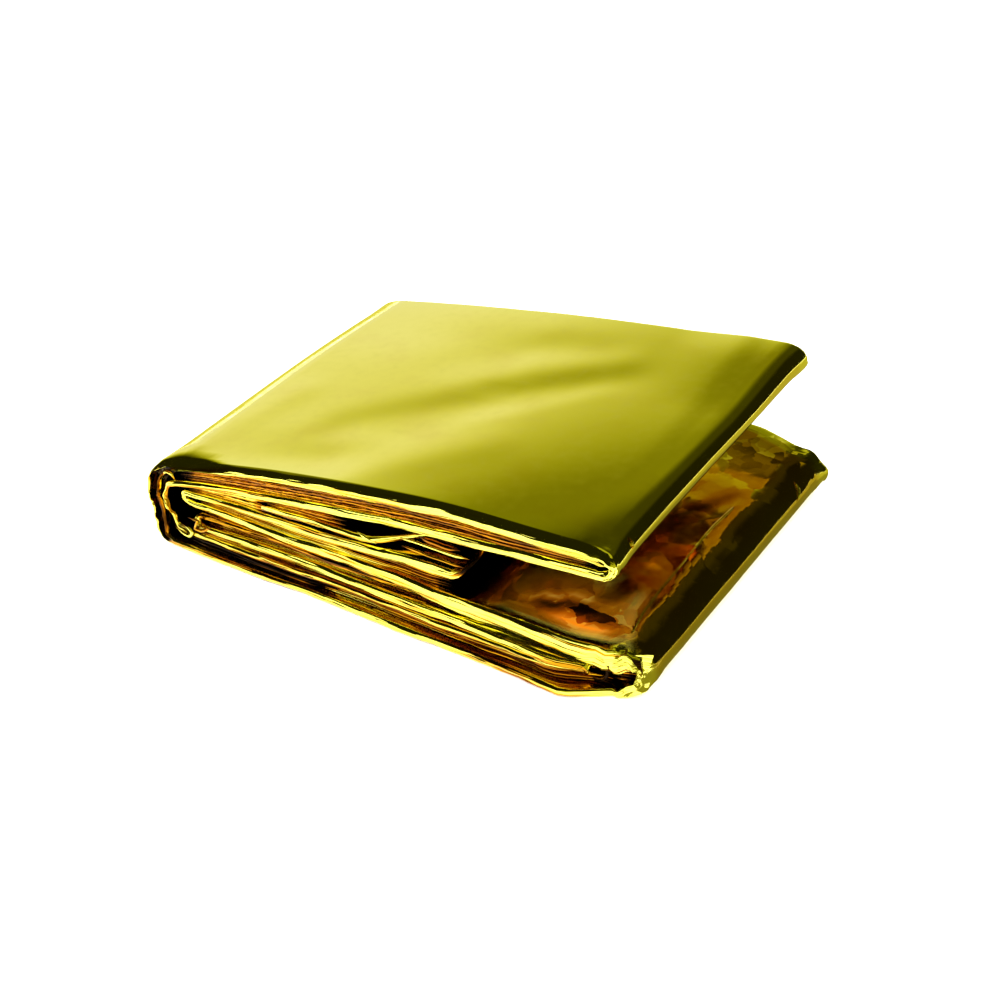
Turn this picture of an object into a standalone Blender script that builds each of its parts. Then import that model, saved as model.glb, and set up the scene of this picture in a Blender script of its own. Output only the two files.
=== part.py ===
"""Emergency foil blanket, folded into a loose flat pack that lies half open like a book.

One metallised film sheet is pleated into a strip as wide as the pack is deep, and the strip is then
folded back and forth. Two leaves open to the right from one rounded spine: a lower leaf flat on the
surface and an upper leaf tilted above it, with a short flap between them. The solid is one continuous
folded strip. Each of its layers stands for a bundle of plies, rounded at the front and back where the
pleats turn. X runs from the spine to the open ends, Y along the spine to the back, Z up. The tables
are in millimetres, with the spine's inner line at x = 0 and the nominal front face at y = 0.
"""

import math
from collections import namedtuple

import bmesh
import bpy

MM = 0.001

# Pack: its depth along the spine, and the x at which the tables give a layer's middle and far values.
PACK_DEPTH = 100.0
MIDDLE_X = 60.0
FAR_X = 120.0

# How the strip is divided into faces.
COLUMNS_ALONG_Y = 13
LIP_ARC_STEPS = 4
LAYER_STEP = 12.5
COVER_STEP = 8.0

# A layer's front edge waves a little along x, each layer at its own phase.
EDGE_WAVE = 0.25
EDGE_WAVE_LENGTH = 47.0

# Length over which a cut corner runs in.
CORNER_RUN = 15.0

# Layers in the order in which the strip runs through them. Each triple gives a value at x = 0, at
# MIDDLE_X and at FAR_X: height is the centre line's at the front, drop how much lower it lies at the
# back, lip how far the front edge stands proud of y = 0, and tail how far the back edge stands proud
# of PACK_DEPTH. way is the x where the layer starts and the x where it ends. corner is the x where
# the corners start to be cut off, then how deep the front one and the back one are cut.
Layer = namedtuple("Layer", "name way height drop thick lip tail corner")
LEVEL = (0.0, 0.0, 0.0)
LAYERS = [
    Layer("short_flap", way=(28.0, 83.0), height=(18.0, 20.5, 24.0), drop=LEVEL, thick=1.5,
          lip=(0.0, 0.2, 0.4), tail=(-2.0, -2.0, -3.0), corner=(58.0, 8.0, 4.0)),
    Layer("under_flap", way=(80.5, 5.0), height=(16.2, 17.3, 20.0), drop=LEVEL, thick=1.6,
          lip=(0.0, 0.0, 0.4), tail=(-1.0, -1.5, -2.0), corner=(90.0, 0.0, 0.0)),
    Layer("lower_leaf_top", way=(5.0, 121.3), height=(13.4, 12.4, 11.1), drop=LEVEL, thick=1.7,
          lip=(0.0, 0.2, 2.4), tail=(0.0, 0.5, 0.5), corner=(109.0, 3.0, 4.0)),
    Layer("base", way=(121.3, -0.5), height=(0.85, 0.85, 0.85), drop=LEVEL, thick=1.7,
          lip=(1.6, 3.4, 6.6), tail=(2.5, 3.6, 4.5), corner=(110.0, 7.4, 6.5)),
    Layer("cover", way=(3.0, 116.4), height=(23.4, 34.2, 37.7), drop=(1.4, 2.4, 0.2), thick=1.7,
          lip=(0.6, 0.6, 0.6), tail=(0.0, 0.0, 0.2), corner=(108.0, 0.6, 1.5)),
    Layer("cover_under", way=(116.4, 2.0), height=(17.8, 26.4, 30.5), drop=(0.3, 0.2, -1.6), thick=1.6,
          lip=(0.2, 0.3, 0.8), tail=(-1.0, -0.6, -0.2), corner=(108.0, 0.4, 1.0)),
    Layer("inner_floor", way=(4.5, 114.8), height=(5.1, 5.1, 5.0), drop=LEVEL, thick=1.5,
          lip=(1.2, 2.6, 6.2), tail=(1.0, 1.6, 2.0), corner=(106.0, 4.6, 6.0)),
    Layer("low_pleat", way=(114.8, 9.0), height=(7.9, 7.5, 7.0), drop=LEVEL, thick=1.5,
          lip=(0.6, 1.6, 5.2), tail=(0.5, 1.0, 1.0), corner=(106.0, 3.8, 5.0)),
    Layer("high_pleat", way=(9.0, 116.8), height=(10.7, 10.0, 9.05), drop=LEVEL, thick=1.5,
          lip=(0.0, 0.8, 3.4), tail=(0.0, 0.6, 0.6), corner=(106.0, 3.0, 5.0)),
    Layer("middle_floor", way=(116.8, 1.5), height=(3.0, 3.0, 3.0), drop=LEVEL, thick=1.0,
          lip=(-1.4, 0.4, 3.2), tail=(-1.0, 0.0, 0.0), corner=(106.0, 3.0, 5.0)),
    Layer("middle_cover", way=(4.0, 107.0), height=(20.8, 29.7, 34.0), drop=(0.9, 1.2, -0.7), thick=1.0,
          lip=(-1.6, -1.2, -1.0), tail=(-2.0, -2.0, -2.0), corner=(100.0, 1.0, 2.0)),
]

# Turns that join one layer to the next. A row with no points is a plain round fold: reach is how far
# it bulges past the layers' ends. The skins round the spine give their centre line's points as (x, z).
Turn = namedtuple("Turn", "name reach steps points")
TURNS = [
    Turn("flap_end", 2.0, 4, ()),
    Turn("flap_root", -1.5, 4, ()),
    Turn("lower_leaf_side", 7.6, 7, ()),
    Turn("outer_skin", 0.0, 12, ((-3.3, 1.7), (-4.2, 5.6), (-4.6, 9.4), (-5.8, 13.2), (-4.7, 17.9),
                                 (-1.9, 21.8))),
    Turn("cover_tip", 4.9, 6, ()),
    Turn("inner_skin", 0.0, 9, ((-0.5, 17.0), (-1.9, 14.2), (-1.3, 11.6), (0.3, 8.8), (1.2, 6.2))),
    Turn("low_pleat_end", 1.0, 3, ()),
    Turn("pleat_root", -1.5, 4, ()),
    Turn("pleat_end", 3.1, 5, ()),
    Turn("middle_skin", 0.0, 9, ((-1.3, 4.4), (-2.2, 8.6), (-3.8, 13.4), (-2.6, 17.5), (-0.2, 19.9))),
]

# Soft creases of the top cover, pressed in along a straight line seen from above. depth is negative
# for a ridge, and width is the distance from the line at which it has nearly faded out.
Crease = namedtuple("Crease", "x_start y_start x_end y_end depth width")
CREASES = [
    Crease(24.0, 23.0, 58.0, 59.0, 0.7, 10.0),
    Crease(60.0, 61.0, 86.0, 80.0, 0.6, 9.0),
    Crease(38.0, 9.0, 78.0, 31.0, -0.8, 12.0),
    Crease(44.0, 78.0, 112.0, 95.0, 0.5, 8.0),
]

FOIL_COLOUR = (0.80, 0.62, 0.06, 1.0)
FOIL_ROUGHNESS = 0.18

Station = namedtuple("Station", "x z drop lip tail thick")


def clamp(value):
    return min(max(value, 0.0), 1.0)


def smooth(value):
    """0 to 1 with level ends."""
    value = clamp(value)
    return value * value * (3.0 - 2.0 * value)


def mix(start, end, part):
    return start + (end - start) * part


def through(x, values):
    """The parabola that takes the three values at x = 0, MIDDLE_X and FAR_X."""
    at_0, at_mid, at_far = values
    near = at_0 * (x - MIDDLE_X) * (x - FAR_X) / (MIDDLE_X * FAR_X)
    middle = at_mid * x * (x - FAR_X) / (MIDDLE_X * (MIDDLE_X - FAR_X))
    far = at_far * x * (x - MIDDLE_X) / (FAR_X * (FAR_X - MIDDLE_X))
    return near + middle + far


def layer_station(layer, x, phase):
    corner_x, front_cut, back_cut = layer.corner
    cut = smooth((x - corner_x) / CORNER_RUN)
    wave = EDGE_WAVE * math.sin(2.0 * math.pi * (x / EDGE_WAVE_LENGTH) + phase)
    return Station(
        x,
        through(x, layer.height),
        through(x, layer.drop),
        through(x, layer.lip) + wave - front_cut * cut,
        through(x, layer.tail) - back_cut * cut,
        layer.thick,
    )


def layer_stations(layer, phase):
    start, end = layer.way
    step = COVER_STEP if layer.name == "cover" else LAYER_STEP
    count = max(2, round(abs(end - start) / step))
    for index in range(count + 1):
        yield layer_station(layer, mix(start, end, index / count), phase)


def between(start, end, x, z, part):
    """A station at (x, z) whose other values lie between those of two others."""
    return Station(x, z, *(mix(a, b, part) for a, b in zip(start[2:], end[2:])))


def round_fold(start, end, turn):
    """Half an ellipse from one layer's end to the next one's."""
    middle_x = (start.x + end.x) / 2.0
    middle_z = (start.z + end.z) / 2.0
    half_x = (start.x - end.x) / 2.0
    half_z = (start.z - end.z) / 2.0
    for index in range(1, turn.steps + 1):
        part = index / (turn.steps + 1)
        angle = math.pi * part
        x = middle_x + half_x * math.cos(angle) + turn.reach * math.sin(angle)
        z = middle_z + half_z * math.cos(angle)
        yield between(start, end, x, z, smooth(part))


def skin(start, end, turn):
    """A smooth curve from one layer's end, through the turn's points, to the next one's."""
    knots = [(start.x, start.z), *turn.points, (end.x, end.z)]
    padded = [knots[0], *knots, knots[-1]]
    for index in range(1, turn.steps + 1):
        part = index / (turn.steps + 1)
        place = part * (len(knots) - 1)
        first = min(int(place), len(knots) - 2)
        t = place - first
        a, b, c, d = padded[first : first + 4]
        x, z = (
            0.5 * (2 * q + (r - p) * t + (2 * p - 5 * q + 4 * r - s) * t * t + (3 * q - p - 3 * r + s) * t**3)
            for p, q, r, s in zip(a, b, c, d)
        )
        yield between(start, end, x, z, part)


def strip_stations():
    """The whole strip's centre line: every layer and the turns between them, in order."""
    stations = []
    for index, layer in enumerate(LAYERS):
        row = list(layer_stations(layer, phase=1.7 * index))
        if stations:
            turn = TURNS[index - 1]
            join = skin if turn.points else round_fold
            stations.extend(join(stations[-1], row[0], turn))
        stations.extend(row)
    return stations


def crease_depth(x, y):
    """How far the creases press the top cover down at a place."""
    total = 0.0
    for crease in CREASES:
        run_x = crease.x_end - crease.x_start
        run_y = crease.y_end - crease.y_start
        along = ((x - crease.x_start) * run_x + (y - crease.y_start) * run_y) / (run_x**2 + run_y**2)
        near = clamp(along)
        gap = math.hypot(x - crease.x_start - near * run_x, y - crease.y_start - near * run_y)
        total += crease.depth * math.exp(-((2.0 * gap / crease.width) ** 2))
    return total


def on_cover(x, z):
    cover = next(layer for layer in LAYERS if layer.name == "cover")
    return x > cover.way[0] and z > through(x, cover.height) - 1.0


def loop_points(station, side_x, side_z):
    """One closed loop round the strip: top side front to back, back lip, underside, front lip."""
    half = station.thick / 2.0
    front = -station.lip + half
    back = PACK_DEPTH + station.tail - half
    pressed = on_cover(station.x, station.z)

    def place(y, across, height):
        v = clamp(y / PACK_DEPTH)
        fall = station.drop * (1.0 - (1.0 - v) ** 2)
        if pressed:
            fall += crease_depth(station.x, y)
        offset = half * height
        return (station.x + side_x * offset, y + half * across, station.z - fall + side_z * offset)

    ways = [(1.0, COLUMNS_ALONG_Y), (-1.0, COLUMNS_ALONG_Y)]
    points = []
    for height, count in ways:
        start, end = (front, back) if height > 0 else (back, front)
        for index in range(count):
            points.append(place(mix(start, end, index / (count - 1)), 0.0, height))
        for index in range(1, LIP_ARC_STEPS):
            angle = math.pi * index / LIP_ARC_STEPS
            points.append(place(end, height * math.sin(angle), height * math.cos(angle)))
    return points


def side_directions(stations):
    """At each station, the unit vector in the XZ plane that points to the strip's left side."""
    sides = []
    for index in range(len(stations)):
        before = stations[max(index - 1, 0)]
        after = stations[min(index + 1, len(stations) - 1)]
        run_x = after.x - before.x
        run_z = after.z - before.z
        length = math.hypot(run_x, run_z)
        sides.append((-run_z / length, run_x / length))
    return sides


def close_end(bm, loop):
    """Faces over one end of the strip, from its top side to its underside."""
    count = COLUMNS_ALONG_Y
    lip = LIP_ARC_STEPS - 1
    top = loop[:count]
    under = loop[count + lip : 2 * count + lip][::-1]
    for index in range(count - 1):
        bm.faces.new((top[index], top[index + 1], under[index + 1], under[index]))
    bm.faces.new([top[-1], *loop[count : count + lip], under[-1]])
    bm.faces.new([under[0], *loop[2 * count + lip :], top[0]])


def build_blanket():
    stations = strip_stations()
    bm = bmesh.new()
    loops = []
    for station, (side_x, side_z) in zip(stations, side_directions(stations)):
        points = loop_points(station, side_x, side_z)
        loops.append([bm.verts.new([MM * value for value in point]) for point in points])
    for first, second in zip(loops, loops[1:]):
        for index in range(len(first)):
            after = (index + 1) % len(first)
            bm.faces.new((first[index], first[after], second[after], second[index]))
    close_end(bm, loops[0])
    close_end(bm, loops[-1])
    bmesh.ops.recalc_face_normals(bm, faces=bm.faces)
    centre_on_base(bm)
    mesh = bpy.data.meshes.new("foil_blanket")
    bm.to_mesh(mesh)
    bm.free()
    mesh.shade_smooth()
    mesh.materials.append(foil_material())
    blanket = bpy.data.objects.new("foil_blanket", mesh)
    bpy.context.scene.collection.objects.link(blanket)
    return blanket


def centre_on_base(bm):
    """Puts the origin under the middle of the pack, on the face that it lies on."""
    middle = [
        (min(v.co[axis] for v in bm.verts) + max(v.co[axis] for v in bm.verts)) / 2.0 for axis in (0, 1)
    ]
    lowest = min(v.co.z for v in bm.verts)
    bmesh.ops.translate(bm, verts=bm.verts, vec=(-middle[0], -middle[1], -lowest))


def foil_material():
    material = bpy.data.materials.new("gold_foil")
    material.use_nodes = True
    shader = material.node_tree.nodes["Principled BSDF"]
    shader.inputs["Base Color"].default_value = FOIL_COLOUR
    shader.inputs["Metallic"].default_value = 1.0
    shader.inputs["Roughness"].default_value = FOIL_ROUGHNESS
    return material


def main():
    for old in list(bpy.data.objects):
        bpy.data.objects.remove(old)
    build_blanket()


main()
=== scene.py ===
"""Emergency foil blanket: the visible gold film, folded into a loose pack that lies half open.

The film is one thin closed strip that follows the folds of the CAD solid, with finer creases, puffed
front and back edges and crumpled corners. Tables are in millimetres, with the spine's inner line at
x = 0, the nominal front face at y = 0 and the floor at z = 0. TABLE_ORIGIN is where the frame's own
origin lies in them.
"""

import math
from collections import namedtuple

import bpy
import numpy as np
from mathutils import Matrix, Vector


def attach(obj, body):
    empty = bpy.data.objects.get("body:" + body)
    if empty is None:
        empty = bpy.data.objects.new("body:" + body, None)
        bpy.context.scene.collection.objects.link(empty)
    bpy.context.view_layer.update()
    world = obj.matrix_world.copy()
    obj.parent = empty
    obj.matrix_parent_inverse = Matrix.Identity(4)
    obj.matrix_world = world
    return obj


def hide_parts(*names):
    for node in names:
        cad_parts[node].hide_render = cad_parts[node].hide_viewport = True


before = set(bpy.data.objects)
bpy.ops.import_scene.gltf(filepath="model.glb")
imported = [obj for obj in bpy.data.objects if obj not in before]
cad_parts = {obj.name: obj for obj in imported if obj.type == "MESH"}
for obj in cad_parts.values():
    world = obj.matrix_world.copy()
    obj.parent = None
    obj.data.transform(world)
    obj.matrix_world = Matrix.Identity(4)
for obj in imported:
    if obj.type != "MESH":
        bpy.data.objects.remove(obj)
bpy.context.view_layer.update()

MM = 0.001
TABLE_ORIGIN = (61.643, 49.125, 0.0)

# Pack: its depth along the spine, and the x at which the tables give a layer's middle and far values.
PACK_DEPTH = 100.0
MIDDLE_X = 60.0
FAR_X = 120.0

# How the strip is divided into faces.
LAYER_STEP = 2.6
COVER_STEP = 1.9
COLUMNS_ALONG_Y = 38
LIP_ARC_STEPS = 34
CLOSE_COLUMNS = (0.0, 0.003, 0.009, 0.018)

EDGE_WAVE = 0.25
EDGE_WAVE_LENGTH = 47.0
PHASE_PER_LAYER = 1.7
CORNER_RUN = 15.0
# Where the lower leaf's top is painted dark for the shade under the flap: full up to DARK_UP_TO and gone by
# CLEAR_FROM along x, full up to DARK_BACK_TO and gone by CLEAR_BEHIND along y.
DARK_UP_TO = 80.0
CLEAR_FROM = 94.0
DARK_BACK_TO = 6.0
CLEAR_BEHIND = 22.0

# The strip's layers in the order in which it runs through them, close to the CAD source. Triples give a
# value at x = 0, MIDDLE_X and FAR_X. bead is how tall the puffed front edge is, lean how much of the
# extra height hangs below the layer, roll how far back its rounding starts, boxy its squareness and
# crinkle how strongly the film is crumpled. face and edge are the tones, painted light and shade, of the
# broad side that looks out and of the rounded edge.
Layer = namedtuple(
    "Layer", "name way height drop thick lip tail corner bead lean roll boxy crinkle face edge"
)
LEVEL = (0.0, 0.0, 0.0)
LAYERS = [
    Layer("short_flap", (28.0, 83.0), (18.0, 20.5, 24.0), LEVEL, 1.2, (0.0, 0.2, 0.4),
          (-2.0, -2.0, -3.0), (58.0, 8.0, 4.0), (1.6, 1.8, 1.2), 0.0, 0.9, 2.4, 0.10, 0.32, 0.10),
    Layer("under_flap", (80.5, 5.0), (16.2, 17.3, 20.0), LEVEL, 1.4, (0.0, 0.0, 0.4),
          (-1.0, -1.5, -2.0), (90.0, 0.0, 0.0), (1.6, 2.7, 3.6), 0.2, 1.4, 2.8, 0.10, 0.8, 0.0),
    Layer("lower_leaf_top", (5.0, 121.3), (13.4, 12.4, 11.1), LEVEL, 1.5, (0.0, 0.4, 2.9),
          (0.0, 0.5, 0.5), (109.0, 3.0, 4.0), (1.7, 3.5, 6.6), 0.7, 1.6, 3.0, 0.20, 0.38, 0.0),
    Layer("base", (121.3, -0.5), (0.85, 0.85, 0.85), LEVEL, 1.6, (1.6, 3.4, 6.6),
          (2.5, 3.6, 4.5), (110.0, 7.4, 6.5), (1.7, 2.1, 2.2), -0.3, 1.2, 2.6, 0.05, 0.2, 0.12),
    Layer("cover", (3.0, 116.4), (23.4, 34.2, 37.7), (1.4, 2.4, 0.2), 1.3, (0.6, 0.6, 0.6),
          (0.0, 0.0, 0.2), (108.0, 0.6, 0.6), (2.8, 2.9, 3.1), 1.0, 2.0, 2.8, 0.0, 0.2, 0.02),
    Layer("cover_under", (116.4, 2.0), (17.8, 26.4, 30.5), (0.3, 0.2, -1.6), 1.4, (0.2, 0.3, 0.8),
          (-1.0, -0.6, -0.2), (108.0, 0.4, 1.0), (1.7, 2.6, 2.6), 0.0, 1.3, 2.8, 0.05, 0.30, 0.0),
    Layer("inner_floor", (4.5, 114.8), (5.1, 5.1, 5.0), LEVEL, 1.4, (1.0, 2.0, 4.6),
          (1.0, 1.6, 2.0), (106.0, 4.6, 6.0), (1.4, 1.8, 1.5), 0.0, 1.0, 2.6, 0.05, 0.7, 0.25),
    Layer("low_pleat", (114.8, 9.0), (7.9, 7.5, 7.0), LEVEL, 1.4, (0.6, 1.6, 5.2),
          (0.5, 1.0, 1.0), (106.0, 3.8, 5.0), (1.5, 2.4, 1.6), 0.2, 1.3, 2.8, 0.05, 0.7, 0.03),
    Layer("high_pleat", (9.0, 116.8), (10.7, 10.0, 9.05), LEVEL, 1.4, (-0.2, 0.2, 2.0),
          (0.0, 0.6, 0.6), (106.0, 3.0, 5.0), (1.6, 1.6, 1.4), 0.0, 1.1, 2.4, 0.05, 0.7, 0.40),
    Layer("middle_floor", (116.8, 1.5), (3.0, 3.0, 3.0), LEVEL, 1.0, (-1.4, 0.4, 3.2),
          (-1.0, 0.0, 0.0), (106.0, 3.0, 5.0), (1.0, 1.0, 1.0), 0.0, 0.7, 2.0, 0.05, 0.9, 0.8),
    Layer("middle_cover", (4.0, 107.0), (20.8, 29.7, 34.0), (0.9, 1.2, -0.7), 1.0, (-1.6, -1.2, -1.0),
          (-2.0, -2.0, -2.0), (100.0, 1.0, 2.0), (1.0, 1.0, 1.0), 0.0, 0.7, 2.0, 0.05, 0.9, 0.7),
]

# Turns that join one layer to the next, close to the CAD source. rim is how wide the turn's own front
# edge is, groove how deep it is pressed in between its two rims, wobble how uneven the rims are and edge
# their tone, painted light and shade. The groove between the rims is also painted dark.
Turn = namedtuple("Turn", "name reach steps points rim groove wobble edge")
TURNS = [
    Turn("flap_end", 2.0, 10, (), 1.2, 0.0, 1.0, 0.95),
    Turn("flap_root", -1.5, 8, (), 1.6, 0.0, 2.0, 0.1),
    Turn("lower_leaf_side", 7.6, 40, (), 2.4, 0.0, 2.0, 0.0),
    Turn("outer_skin", 0.0, 44, ((-3.3, 1.7), (-4.2, 5.6), (-4.6, 9.4), (-5.8, 13.2), (-4.7, 17.9),
                                 (-1.9, 21.8)), 3.8, 4.0, 2.0, 0.0),
    Turn("cover_tip", 4.9, 18, (), 2.2, 0.0, 2.0, 0.0),
    Turn("inner_skin", 0.0, 30, ((-0.5, 17.0), (-1.9, 14.2), (-1.3, 11.6), (0.3, 8.8), (1.2, 6.2)),
         1.2, 0.0, 2.0, 0.24),
    Turn("low_pleat_end", 1.0, 8, (), 1.6, 0.0, 1.0, 0.1),
    Turn("pleat_root", -1.5, 8, (), 1.8, 0.0, 1.0, 0.1),
    Turn("pleat_end", 3.1, 10, (), 1.0, 0.0, 1.0, 0.97),
    Turn("middle_skin", 0.0, 20, ((-1.3, 4.4), (-2.2, 8.6), (-3.8, 13.4), (-2.6, 17.5), (-0.2, 19.9)),
         1.0, 0.0, 2.0, 1.0),
]

# Soft creases of the top cover along a straight line seen from above. depth is negative for a ridge,
# and width is the distance from the line at which it has nearly faded out.
Crease = namedtuple("Crease", "x_start y_start x_end y_end depth width")
CREASES = [
    Crease(35.3, 25.9, 61.0, 50.0, 0.27, 14.4),
    Crease(63.4, 69.9, 81.5, 74.4, -0.31, 16.7),
    Crease(12.1, 12.0, 44.3, 24.8, 0.04, 8.4),
    Crease(46.4, -0.4, 72.6, 27.4, -0.10, 13.9),
    Crease(6.8, 24.3, 10.6, 39.1, -0.16, 12.7),
    Crease(59.8, 88.7, 114.0, 94.8, -0.23, 26.0),
    Crease(59.3, 55.8, 70.7, 60.6, 0.05, 6.9),
    Crease(50.4, 26.8, 84.5, 69.4, 0.24, 15.6),
    Crease(64.5, 36.9, 85.2, 59.8, -0.06, 8.0),
    Crease(11.7, 80.7, 56.5, 76.9, 0.24, 24.3),
    Crease(13.5, 0.5, 39.9, 8.9, 0.50, 21.0),
    Crease(43.5, 64.7, 73.5, 77.0, 0.16, 19.6),
    Crease(53.5, 54.6, 66.5, 54.2, 0.04, 2.6),
    Crease(66.5, 54.2, 72.5, 57.9, 0.04, 2.6),
]

# The cover's broad swell: each row is (power of u, power of v, height), where u and v run from -1 to 1
# along the cover's length and depth.
SWELL = [(1, 0, -0.577), (0, 1, 0.157), (2, 0, 0.989), (1, 1, -0.525), (0, 2, -0.313), (3, 0, -0.162),
         (2, 1, 0.127), (1, 2, 0.115), (0, 3, 0.051), (4, 0, -0.047), (3, 1, 0.222), (2, 2, -1.036),
         (1, 3, 0.878), (0, 4, 0.058)]

# The lower leaf bends down to the right of a crease: the crease's (y, x) places, how steeply the film
# falls beyond it and for how many mm.
LEAF_CREASE = [(0.5, 124.0), (7.6, 121.8), (15.9, 120.5), (25.1, 119.8), (36.2, 119.6), (45.2, 119.3),
               (53.7, 119.2), (64.9, 120.0), (76.0, 121.5), (100.0, 122.5)]
LEAF_FALL = 0.16
LEAF_RUN = 6.0

# A station's depth is how much painted shade from the flap falls on it.
Station = namedtuple(
    "Station", "x z drop lip tail thick bead lean roll boxy crinkle face edge groove wobble depth cover leaf"
)

# Camera: where it stands and what it aims at, in the tables' frame, and its roll and lens.
CAMERA_PLACE = (269.62, -278.11, 256.08)
CAMERA_AIM = (59.80, 54.75, 0.0)
CAMERA_ROLL = -1.9646
CAMERA_LENS = 66.67


def smooth(value):
    """0 to 1 with level ends, for numbers and arrays."""
    value = np.clip(value, 0.0, 1.0)
    return value * value * (3.0 - 2.0 * value)


def mix(start, end, part):
    return start + (end - start) * part


def through(x, values):
    """The parabola that takes the three values at x = 0, MIDDLE_X and FAR_X."""
    at_0, at_mid, at_far = values
    near = at_0 * (x - MIDDLE_X) * (x - FAR_X) / (MIDDLE_X * FAR_X)
    middle = at_mid * x * (x - FAR_X) / (MIDDLE_X * (MIDDLE_X - FAR_X))
    far = at_far * x * (x - MIDDLE_X) / (FAR_X * (FAR_X - MIDDLE_X))
    return near + middle + far


def flap_shade(layer, x):
    """How much the lower leaf's top lies in the dark, where it runs in under the flap."""
    if layer.name != "lower_leaf_top":
        return 0.0
    return float(1.0 - smooth((x - DARK_UP_TO) / (CLEAR_FROM - DARK_UP_TO)))


def layer_station(layer, x, phase):
    corner_x, front_cut, back_cut = layer.corner
    cut = smooth((x - corner_x) / CORNER_RUN)
    wave = EDGE_WAVE * math.sin(2.0 * math.pi * (x / EDGE_WAVE_LENGTH) + phase)
    return Station(
        x=x,
        z=through(x, layer.height),
        drop=through(x, layer.drop),
        lip=through(x, layer.lip) + wave - front_cut * cut,
        tail=through(x, layer.tail) - back_cut * cut,
        thick=layer.thick,
        bead=through(x, layer.bead),
        lean=layer.lean,
        roll=layer.roll,
        boxy=layer.boxy,
        crinkle=layer.crinkle,
        face=layer.face,
        edge=layer.edge,
        groove=0.0,
        wobble=1.0,
        depth=flap_shade(layer, x),
        cover=1.0 if layer.name == "cover" else 0.0,
        leaf=1.0 if layer.name == "lower_leaf_top" else 0.0,
    )


def layer_stations(layer, phase):
    start, end = layer.way
    step = COVER_STEP if layer.name in ("cover", "lower_leaf_top") else LAYER_STEP
    count = round(abs(end - start) / step)
    return [layer_station(layer, mix(start, end, i / count), phase) for i in range(count + 1)]


def between(start, end, x, z, part, turn):
    """A station at (x, z) whose other values lie between those of two others."""
    rest = [mix(a, b, part) for a, b in zip(start[2:], end[2:])]
    made = Station(x, z, *rest)
    rise = float(smooth(3.0 * min(part, 1.0 - part)))
    return made._replace(
        groove=turn.groove * rise,
        bead=mix(made.bead, turn.rim, rise),
        wobble=mix(1.0, turn.wobble, rise),
        edge=mix(made.edge, turn.edge, rise),
    )


def round_fold(start, end, turn):
    """Half an ellipse from one layer's end to the next one's."""
    made = []
    for i in range(1, turn.steps + 1):
        part = i / (turn.steps + 1)
        angle = math.pi * part
        x = (start.x + end.x) / 2.0 + (start.x - end.x) / 2.0 * math.cos(angle) + turn.reach * math.sin(angle)
        z = (start.z + end.z) / 2.0 + (start.z - end.z) / 2.0 * math.cos(angle)
        made.append(between(start, end, x, z, float(smooth(part)), turn))
    return made


def skin(start, end, turn):
    """A smooth curve from one layer's end, through the turn's points, to the next one's."""
    knots = np.array([(start.x, start.z), *turn.points, (end.x, end.z)])
    padded = np.vstack([knots[:1], knots, knots[-1:]])
    made = []
    for i in range(1, turn.steps + 1):
        part = i / (turn.steps + 1)
        place = part * (len(knots) - 1)
        first = min(int(place), len(knots) - 2)
        t = place - first
        a, b, c, d = padded[first : first + 4]
        bend = (2 * a - 5 * b + 4 * c - d) * t**2 + (3 * b - a - 3 * c + d) * t**3
        x, z = 0.5 * (2 * b + (c - a) * t + bend)
        made.append(between(start, end, x, z, part, turn))
    return made


def strip_stations():
    """The whole strip's centre line: every layer and the turns between them, in order."""
    stations = []
    for index, layer in enumerate(LAYERS):
        row = layer_stations(layer, PHASE_PER_LAYER * index)
        if stations:
            turn = TURNS[index - 1]
            join = skin if turn.points else round_fold
            stations.extend(join(stations[-1], row[0], turn))
        stations.extend(row)
    return stations


def crease_depth(x, y):
    """How far the creases and the broad swell press the top cover down at a place."""
    total = np.zeros_like(x)
    for crease in CREASES:
        run_x = crease.x_end - crease.x_start
        run_y = crease.y_end - crease.y_start
        along = ((x - crease.x_start) * run_x + (y - crease.y_start) * run_y) / (run_x**2 + run_y**2)
        near = np.clip(along, 0.0, 1.0)
        gap = np.hypot(x - crease.x_start - near * run_x, y - crease.y_start - near * run_y)
        total += crease.depth * np.exp(-((2.0 * gap / crease.width) ** 2))
    u = (x - MIDDLE_X) / MIDDLE_X
    v = (2.0 * y - PACK_DEPTH) / PACK_DEPTH
    for power_u, power_v, height in SWELL:
        total -= height * u**power_u * v**power_v
    start, sooner, run, depth = OPEN_EDGE
    total += depth * smooth((x - start + sooner * y / PACK_DEPTH) / run)
    return total


# Directions in degrees, lengths and heights in mm of the flat facets that crumpled film falls into.
FACETS = [(17.0, 13.0, 0.9), (71.0, 9.0, 0.6), (128.0, 15.5, 1.0), (158.0, 7.5, 0.45), (43.0, 21.0, 1.2)]


def facets(x, y, offset):
    """Flat facets with sharp edges, about -1 to 1."""
    total = np.zeros_like(x)
    for number, (turn, length, height) in enumerate(FACETS):
        a = math.radians(turn)
        warp = 1.8 * np.sin(0.13 * x + 0.7 * number + offset) + 1.8 * np.sin(0.17 * y + 1.9 * number)
        wave = (x * math.cos(a) + y * math.sin(a) + warp) / length + 0.37 * number + offset
        total += height * (4.0 * np.abs(wave - np.floor(wave) - 0.5) - 1.0)
    return total / sum(row[2] for row in FACETS)


# Small unevenness of the rounded edges: waves along the edge per mm, lean across it and height in mm.
RIPPLES = [(0.83, 2.1, 0.06), (1.57, -3.7, 0.05), (2.9, 5.3, 0.03), (0.31, 1.1, 0.10), (0.17, 8.5, 0.05),
           (0.47, -11.0, 0.04)]


def ripple(along, level):
    """Small unevenness of a lip in mm, along it and a little across it."""
    total = 0.0
    for number, (turns, lean, height) in enumerate(RIPPLES):
        total = total + height * np.sin(turns * along + lean * level + 1.3 * number)
    return total


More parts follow.
